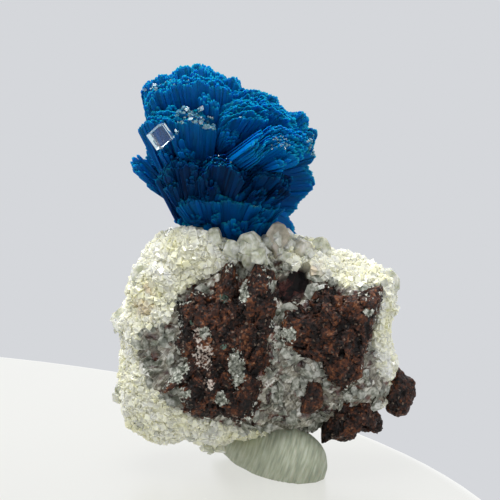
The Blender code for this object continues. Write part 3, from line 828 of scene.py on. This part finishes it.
def buildRosette():
    rng = np.random.default_rng(rosette["seed"])
    low, high = inMillimetres(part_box("cavansite_rosette"))
    grown = [fanBlades(*fan, rng) for fan in rosette["fans"] + backFans(rng)]
    starts, tips, outward, lights = (np.concatenate(part) for part in zip(*grown))
    tips = np.clip(tips, low - rosette["pastLow"], high + rosette["pastHigh"])
    cx, cz = middle = rosette["outlineCentre"]
    for _ in range(rosette["shortenings"]):
        # blades that would pass the outline end sooner
        x, level = tips[:, 0] - cx, tips @ rosette["viewHeight"] - cz
        beyond = np.hypot(x, level) > outlineReach(rosette["outline"], middle, x, level)
        tips[beyond] = starts[beyond] + (tips[beyond] - starts[beyond]) * rosette["shortenedTo"]
    kept = ~isInside(crust, tips, 0.1)
    starts, tips, outward, lights = starts[kept], tips[kept], outward[kept], lights[kept]
    count = len(tips)
    points, faces, along = growBlades(
        starts, tips,
        outward + rng.normal(size=(count, 3)) * rosette["bladeTwist"],
        rng.uniform(*rosette["bladeWidth"], count),
        rng.uniform(*rosette["bladeThickness"], count),
        rng.uniform(*rosette["bladePoint"], count),
    )
    points = np.clip(points, *inMillimetres(cadBox))
    blades = addMesh("cavansiteBlades", points, faces, "cavansiteBlades")
    addAttribute(blades, "along", along)
    # lightness per blade, partly painted shade, which darkens the colour in the material
    addAttribute(blades, "light", np.repeat(lights, bladeCorners))
    dress(blades, "cavansite", "cavansite_rosette")
    points, faces = bodySurface(rosetteCore)
    centre = np.array(rosetteCore["centre"])
    points = centre + (points - centre) * rosette["coreShare"]
    bumpSize, bumpHeight = rosette["coreBumps"]
    bumps = softBumps(points, bumpSize)[:, None]
    points = points + pointNormals(points, faces) * bumps * bumpHeight
    roots = addMesh("cavansiteRoots", points, faces.tolist(), "cavansiteRoots", True)
    dress(roots, "cavansite")
    addGrains(tips, rng)
    print("rosette grown,", count, "blades")


# Calcite crust

druse = {
    "seed": 4,
    "smallCount": 15500,
    "smallEdge": (0.28, 0.62),
    # heaps and hollows on the crust: X, Y, Z, reach and height
    "heaps": [
        (-6.6, -2.6, 21.2, 2.3, 2.6), (-9.5, -1.0, 4.0, 2.4, 0.9), (7.6, -0.5, 19.4, 1.8, -0.8),
        (-11.2, -1.0, 19.2, 1.6, -0.5),
    ],
    "mediumCount": 90,
    "mediumEdge": (0.6, 0.9),
    "stretch": (0.6, 1.1),
    "turning": 1.2,
    "bumps": (1.2, 0.2),
    "chipSizes": (1.1, 0.5), "chipTilts": (0.4, 0.4),
    "shards": 300, "shardEdge": (0.35, 1.1), "shardThickness": (0.1, 0.3), "shardTurning": 0.5,
    # crystals keep this far from the rock, shards less; they may stand so far in the rosette
    "rockGap": 0.3, "shardGap": 0.1, "rosetteOverlap": 0.3,
    # single larger crystals: X, Y, Z, edge, lean right, lean to the front, how steep the rhomb is
    "large": [
        (-4.2, -3.1, 21.8, 1.5, 4, 8, 38), (-2.8, -3.4, 21.0, 1.4, -8, 18, 44),
        (-0.9, -3.5, 20.9, 2.2, -12, 8, 38), (1.3, -2.0, 21.5, 2.1, 5, 4, 36),
        (3.4, -1.2, 20.2, 1.8, 20, 5, 46), (5.3, 0.4, 20.0, 1.8, 4, 0, 40),
        (-12.4, 0.6, 13.4, 1.9, -80, 0, 55), (-12.3, 1.4, 7.0, 1.8, -100, 0, 52),
        (11.0, 1.0, 17.2, 2.0, 50, 0, 50), (-4.6, -1.4, 3.2, 1.9, 190, 20, 60),
        (-10.7, -1.0, 18.2, 1.6, -48, 10, 45),
    ],
    "largeTan": [0, 0, 0, 0.55, 0.3, 0, 0, 0, 0, 0, 0],
    # how much larger they are drawn than the solids' own, and where their tops are cut flat
    "swell": 1.06,
    "flatTop": 0.56,
    "bluntness": 0.16,
    "companionSeed": 15,
    "companions": 16,
    "companionShare": (0.2, 0.5), "companionStretch": (0.8, 1.3), "companionTurning": 0.6,
    "companionAway": (0.35, 0.62), "companionDrop": 0.35,
    "pitDepth": 1.5, "pitChips": 0.3,
    "pitCentre": (2.8, 17.9),
    "pit": [(1.2, 17.5), (2.6, 18.9), (4.2, 19.6), (4.1, 18.3), (3.7, 17.0), (2.2, 16.3)],
    "brokenCentre": (0, 12),
    "broken": [
        (10.8, 17.5), (8.0, 17.4), (5.0, 18.5), (2.5, 19.3), (0.0, 20.5), (-1.2, 19.5),
        (-2.4, 20.3), (-4.6, 18.8), (-7.5, 17.2), (-8.2, 14.5), (-11.0, 13.6), (-11.0, 10.0),
        (-9.5, 8.0), (-6.5, 6.0), (-3.0, 5.0), (0.0, 4.2), (6.0, 4.0), (9.0, 4.6),
        (11.6, 6.0), (11.8, 8.6), (10.3, 9.8), (9.8, 13.0),
    ],
    # rock that shows through: X, Z, half width, half height
    "brown": [
        (-9.9, 13.1, 0.6, 0.35), (-9.9, 10.9, 0.6, 0.95), (-1.5, 6.4, 1.0, 0.6),
        (1.7, 5.8, 1.1, 0.5), (-11.8, 13.2, 0.5, 0.25), (3.0, 8.2, 0.12, 0.5),
    ],
    "tan": [(-10.1, 17.3, 0.5, 0.5), (4.6, 18.6, 0.8, 0.9), (-10.6, 15.6, 1.0, 0.8)],
    "tanShare": 0.6,
}


def isBroken(points):
    # the broken front, where the basalt shows
    inFront = outlineShare(druse["broken"], druse["brokenCentre"], points) < 1
    return (points[:, 1] < -1.0) & inFront


def pitStrength(points):
    # 1 in the dark pit of the front, 0 at its edge
    share = outlineShare(druse["pit"], druse["pitCentre"], points)
    return np.clip((1.1 - share) * 4, 0, 1) * (points[:, 1] < 0)


def buildMassive():
    points, faces = bodySurface(crust)
    normals = pointNormals(points, faces)
    broken = isBroken(points).astype(float)
    pit = pitStrength(points)
    chips = brokenFaces(points, druse["chipSizes"], druse["chipTilts"]) * broken
    chips *= 1 + pit * druse["pitChips"]
    bumpSize, bumpHeight = druse["bumps"]
    bumps = softBumps(points, bumpSize) * bumpHeight
    heaps = np.zeros(len(points))
    for *top, wide, high in druse["heaps"]:
        heaps += high * np.exp(-(((points - top) ** 2).sum(1)) / wide**2) * (1 - broken)
    raised = chips + bumps - pit * druse["pitDepth"] + heaps
    surface = points + normals * raised[:, None]
    body = addMesh("calciteMassive", surface, faces.tolist(), "calciteMassive")
    addAttribute(body, "broken", broken)
    brown = spotStrength(surface, druse["brown"], 3.0)
    # brown flecks of rock in the calcite round each stone
    flecks = np.clip(softBumps(surface + 4.0, 0.55) * 5 - 0.4, 0, 1) * broken
    for stone in basalts.values():
        share = outlineShare(stone["outline"], stone["centre"], surface)
        brown = np.maximum(brown, flecks * np.clip((1.5 - share) * 3, 0, 1))
    addAttribute(body, "brown", brown)
    addAttribute(body, "pit", pit)
    dress(body, "calcite", "calcite_crust")
    return surface, faces


def buildCrust():
    rng = np.random.default_rng(druse["seed"])
    surface, faces = buildMassive()
    box = inMillimetres(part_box("calcite_crust"))
    rhomb = rhombShape()
    for name, finish, count, edge in (
        ("calciteSugar", "calciteSugar", druse["smallCount"], druse["smallEdge"]),
        ("calciteGlassy", "calciteCloudy", druse["mediumCount"], druse["mediumEdge"]),
    ):
        places, outward = scatter(surface, faces, count, rng)
        kept = ~isBroken(places) & (pitStrength(places) < 0.3)
        kept &= ~inStones(places, druse["rockGap"])
        kept &= ~isInside(rosetteCore, places, -druse["rosetteOverlap"])
        places, outward = places[kept], outward[kept]
        count = len(places)
        ways = outward + rng.normal(size=(count, 3)) * druse["turning"]
        axes = turnedTo(ways, rng)
        sizes = rng.uniform(*edge, count)
        scales = np.stack([sizes, sizes, sizes * rng.uniform(*druse["stretch"], count)], axis=1)
        grains = dress(addCrystals(name, rhomb, places, axes, scales, finish, box), "calcite")
        if "tan" in finishes[finish]:
            tan = spotStrength(places, druse["tan"], 6.0) * druse["tanShare"]
            addAttribute(grains, "tan", np.repeat(tan, len(rhomb[0])))
        print(name, count)

    # glassy chips where the calcite is broken: the first of many places that lie there
    places, outward = scatter(surface, faces, druse["shards"] * 6, rng)
    kept = isBroken(places) & ~inStones(places, druse["shardGap"]) & (pitStrength(places) == 0)
    places, outward = places[kept][: druse["shards"]], outward[kept][: druse["shards"]]
    count = len(places)
    ways = outward + rng.normal(size=(count, 3)) * druse["shardTurning"]
    sizes = rng.uniform(*druse["shardEdge"], (count, 3))
    sizes[:, 2] = rng.uniform(*druse["shardThickness"], count)
    axes = turnedTo(ways, rng)
    shards = addCrystals("calciteShards", rhomb, places, axes, sizes, "calciteFracture", box)
    dress(shards, "calcite")
    print("calciteShards", count)


def buildLargeCrystals():
    box = inMillimetres(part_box("calcite_crust"))
    shape = flatTopped(druse["flatTop"])
    places, axes, scales = [], [], []
    for k, (x, y, z, edge, *angles) in enumerate(druse["large"]):
        lean, forward, steep = (math.radians(angle) for angle in angles)
        turn = Matrix.Rotation(lean, 3, "Y") @ Matrix.Rotation(forward, 3, "X")
        turn = turn @ Matrix.Rotation(k * 0.9, 3, "Z")  # each one is spun further than the last
        wide = edge * math.sin(steep) / math.sqrt(2 / 3)
        places.append((x, y, z))
        axes.append(np.array(turn).T)
        scales.append((wide, wide, edge * math.cos(steep) * math.sqrt(3)))
    places, axes, scales = np.array(places), np.array(axes), np.array(scales) * druse["swell"]
    piece = addCrystals("calciteLarge", shape, places, axes, scales, "calciteWatery", box)
    roundEdges(piece, druse["bluntness"])
    addAttribute(piece, "tan", np.repeat(druse["largeTan"], len(shape[0])))
    dress(piece, "calcite")

    # smaller ones grown against each
    rng = np.random.default_rng(druse["companionSeed"])
    centres = np.repeat(places, druse["companions"], axis=0)
    edge = np.repeat([spec[3] for spec in druse["large"]], druse["companions"])
    away = unit(rng.normal(size=(len(centres), 3)))
    far = edge * rng.uniform(*druse["companionAway"], len(centres))
    centres += away * far[:, None] - (0, 0, druse["companionDrop"])
    sizes = edge * rng.uniform(*druse["companionShare"], len(centres))
    heights = sizes * rng.uniform(*druse["companionStretch"], len(sizes))
    scales = np.stack([sizes, sizes, heights], axis=1)
    axes = turnedTo(away + rng.normal(size=away.shape) * druse["companionTurning"], rng)
    piece = addCrystals(
        "calciteCompanions", rhombShape(), centres, axes, scales, "calciteWatery", box
    )
    dress(piece, "calcite")
    print("large crystals grown")


# Basalt

windows = {
    # X, Z, half width, half height of what shows in the rock
    "glassy": [
        (-8.0, 10.8, 1.3, 1.4), (-2.25, 10.7, 0.7, 1.7), (-3.6, 7.9, 0.55, 0.7),
        (-5.0, 14.2, 0.5, 0.5), (2.4, 13.8, 0.6, 0.75), (9.4, 15.9, 0.45, 0.35),
        (-7.4, 8.4, 1.0, 0.5), (-1.6, 17.4, 0.4, 0.9), (5.2, 5.8, 0.4, 1.0),
    ],
    "pinkish": [(-5.6, 13.9, 0.8, 0.8), (-5.2, 12.0, 1.0, 1.5), (-4.6, 9.4, 0.4, 0.5)],
    "greenish": [(-3.4, 17.2, 0.5, 0.4), (-3.4, 12.9, 0.35, 0.3), (-6.2, 14.9, 0.3, 0.3)],
    # how closely each covers its spots
    "cover": {"glassy": 1.0, "pinkish": 0.65, "greenish": 0.6},
    # the border of the main stones: from this share of the outline on, at most so strong
    "borderFrom": 0.8, "borderMost": 0.55,
    "chipSizes": (1.3, 0.45), "chipTilts": (0.5, 0.7),
    "bumps": (0.5, 0.12),
    # how far chips may stand proud before the rest of their height is cut to a share
    "proud": 0.05, "proudShare": 0.3,
    "seed": 9,
    "grains": 120, "grainEdge": (0.15, 0.5), "grainsFrom": 0.8,
}


def buildBasalt():
    rng = np.random.default_rng(windows["seed"])
    places = []
    for node, stone in basalts.items():
        points, faces = bodySurface(stone)
        normals = pointNormals(points, faces)
        shown = {kind: spotStrength(points, windows[kind], 5.0) for kind in windows["cover"]}
        # the two main stones have a glassy border
        share = outlineShare(stone["outline"], stone["centre"], points)
        border = np.clip((share - windows["borderFrom"]) * 3, 0, windows["borderMost"])
        border *= np.clip(softBumps(points + 9.0, 0.9) * 3 + 0.6, 0, 1) * (stone["chips"] > 0.96)
        shown["glassy"] = np.maximum(shown["glassy"], border)
        rough = brokenFaces(points, windows["chipSizes"], windows["chipTilts"]) * stone["chips"]
        bumpSize, bumpHeight = windows["bumps"]
        rough += softBumps(points, bumpSize) * bumpHeight
        proud = windows["proud"]
        rough = np.where(rough > proud, proud + (rough - proud) * windows["proudShare"], rough)
        # the height of the chips and bumps, which the colour follows as painted shade: hollows darker,
        # ridges lighter
        reliefShade = np.clip(rough * 2.2, -0.5, 0.5)  # what the colour follows
        box = inMillimetres(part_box(node))
        points = np.clip(points + normals * rough[:, None], *box)
        rock = addMesh(node.replace("_", "") + "Rock", points, faces.tolist(), "basaltWeathered")
        addAttribute(rock, "reliefShade", reliefShade)
        for kind, strength in shown.items():
            addAttribute(rock, kind, strength * windows["cover"][kind])
        places.append(points[shown["glassy"] > windows["grainsFrom"]])
        dress(rock, "basalt", node)
    # broken glassy grains on the windows
    places = rng.permutation(np.concatenate(places))[: windows["grains"]]
    count = len(places)
    axes = turnedTo(rng.normal(size=(count, 3)), rng)
    sizes = rng.uniform(*windows["grainEdge"], (count, 3))
    box = inMillimetres(cadBox)
    grains = addCrystals(
        "calciteWindows", rhombShape(), places, axes, sizes, "calciteFracture", box
    )
    dress(grains, "calcite")
    print("basalt broken,", count, "glassy grains")


# Clear rhomb on the rosette

clearRhomb = {"bluntness": 0.05}


def buildRhomb():
    # the solid's own faces, joined so that their edges can be rounded
    piece = addObject("clearRhomb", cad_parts["calcite_rhomb"].data.copy())
    piece.data.materials.clear()
    piece.data.materials.append(materials["calciteClear"])
    piece.modifiers.new("Corners", "WELD")
    roundEdges(piece, clearRhomb["bluntness"])
    dress(piece, "clear_calcite", "calcite_rhomb")
    print("rhomb set")


# Putty

putty = {
    # an egg on its side: blunt at the front right, narrower to the back left
    "centre": (0.3, 0.0, 1.2),
    "along": (-0.705, 0.709),
    "halfLength": 7.1,
    "halfWidth": 2.4,
    "halfHeight": 2.75,
    "taper": 0.66,
    "share": 0.985,
    # the fold: X at the foot, how it leans with height and bends, its width and height
    "fold": (3.5, -0.38, 0.06, 0.3, 0.14),
    # the groove beside it: how far off, its width and its depth as a share of the fold's height
    "groove": (0.45, 0.3, 0.7),
    # lines pulled along the fold, how many to a millimetre across and along, and their height
    "lines": (4.2, 0.5),
    "streak": 0.035,
    "dents": (2.5, 0.1),
}


def puttyReach(directions):
    # distance from the putty's centre to its surface, found by halving
    ahead = np.array((*putty["along"], 0.0))
    ahead /= np.linalg.norm(ahead)
    beside = np.array((ahead[1], -ahead[0], 0.0))
    u = directions @ ahead / putty["halfLength"]
    v = directions @ beside / putty["halfWidth"]
    w = directions[:, 2] / putty["halfHeight"]
    low, high = np.zeros(len(directions)), np.full(len(directions), putty["halfLength"])
    for _ in range(30):
        middle = (low + high) / 2
        narrow = 1 - putty["taper"] * u * middle
        inside = (u * middle) ** 2 + ((v * middle) ** 2 + (w * middle) ** 2) / narrow**2 < 1
        low, high = np.where(inside, middle, low), np.where(inside, high, middle)
    return low


def buildPutty():
    directions, faces = ballMesh(7)
    centre = np.array(putty["centre"])
    points = centre + directions * (puttyReach(directions) * putty["share"])[:, None]
    x, y, z = points.T
    foldX, lean, bend, width, height = putty["fold"]
    grooveAt, grooveWidth, grooveDepth = putty["groove"]
    across = x - foldX - lean * np.maximum(z, 0) - bend * z * z * (z > 0)
    front = np.clip(-y / 1.5, 0, 1)
    groove = grooveDepth * np.exp(-(((across - grooveAt) / grooveWidth) ** 2))
    fold = (np.exp(-((across / width) ** 2)) - groove) * height
    # the lines are full to the right of the fold and faint to its left
    wide, tall = putty["lines"]
    lines = np.array([noise.noise(Vector((a * wide, b * tall, 0))) for a, b in zip(across, z)])
    strength = np.where(across > 0, 1.0, 0.35) * putty["streak"]
    dentSize, dentDepth = putty["dents"]
    dents = softBumps(points, dentSize, 2) * dentDepth
    points = points + directions * (fold * front + lines * strength + dents)[:, None]
    # flat on the stand below
    floorAt = -centre[2] / np.minimum(directions[:, 2], -1e-9)
    below = points[:, 2] < 0
    points[below] = centre + directions[below] * floorAt[below][:, None]
    # kept to the solid's box but for its top
    low, high = inMillimetres(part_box("mounting_putty"))
    points = np.clip(points, low, (high[0], high[1], np.inf))
    piece = addMesh("puttyPinch", points, faces.tolist(), "puttyPressed", True)
    dress(piece, "putty", "mounting_putty")
    print("putty pressed")


# Stand, light and camera

stage = {
    "discCentre": (-56.0, -31.0),
    "discRadius": 80.0,
    "discThickness": 12.0,
    "edgeRound": 3.0,
    "backdrop": "#D5D7DB",
    "fill": 1.25,
    # place, size and power
    "softboxes": {
        "topSoftbox": ((-30, 5, 170), 140, 0.35),
        "sideSoftbox": ((110, -110, 110), 60, 0.015),
    },
    "cameraElevation": 12.0,
    "cameraDistance": 250.0,
    "lens": 200.0,
    "aim": (-1.08, 0.0, 20.3),
}


def buildStand():
    cx, cy = stage["discCentre"]
    radius, thick, edge = stage["discRadius"], stage["discThickness"], stage["edgeRound"]
    profile = [(0.0, 0.0)]
    for turn in np.linspace(0, math.pi / 2, 9):
        profile.append((radius - edge + edge * math.sin(turn), edge * math.cos(turn) - edge))
    profile += [(radius, -thick), (0.0, -thick)]
    steps, size = 128, len(profile)
    points, faces = [], []
    for k in range(steps):
        turn = math.tau * k / steps
        points += [(cx + r * math.cos(turn), cy + r * math.sin(turn), z) for r, z in profile]
        here, after = k * size, (k + 1) % steps * size
        faces += [(here + j, here + j + 1, after + j + 1, after + j) for j in range(size - 1)]
    addMesh("whiteStand", points, faces, "whiteGlaze", True)


def turnTo(thing, place, aim):
    # in millimetres, looking from place to aim
    thing.location = Vector(place) * mm
    thing.rotation_euler = (Vector(aim) - Vector(place)).to_track_quat("-Z", "Y").to_euler()


def buildStage():
    buildStand()
    scene = bpy.context.scene
    scene.view_settings.view_transform = "Standard"
    scene.world = bpy.data.worlds.new("paleRoom")
    scene.world.use_nodes = True
    tree = scene.world.node_tree
    # the room is plain to the camera and a little brighter as a light
    seen = addNode(tree, "LightPath", "Is Camera Ray")
    strength = addNode(tree, "MapRange", "Result", {
        "Value": seen, "To Min": stage["fill"], "To Max": 1.0,
    })
    setInputs(tree.nodes["Background"], {"Color": linearColour(stage["backdrop"]), "Strength": strength})
    aim = Vector(stage["aim"])
    for name, (place, size, power) in stage["softboxes"].items():
        light = bpy.data.lights.new(name, "AREA")
        light.shape = "DISK"
        light.size = size * mm
        light.energy = power
        turnTo(addObject(name, light), place, aim)
    camera = addObject("photoCamera", bpy.data.cameras.new("photoCamera"))
    scene.camera = camera
    camera.data.lens = stage["lens"]
    camera.data.clip_start = 0.01
    rise = math.radians(stage["cameraElevation"])
    back = Vector((0, -math.cos(rise), math.sin(rise))) * stage["cameraDistance"]
    turnTo(camera, aim + back, aim)
    print("stage set")


buildRosette()
buildCrust()
buildLargeCrystals()
buildBasalt()
buildRhomb()
buildPutty()
buildStage()
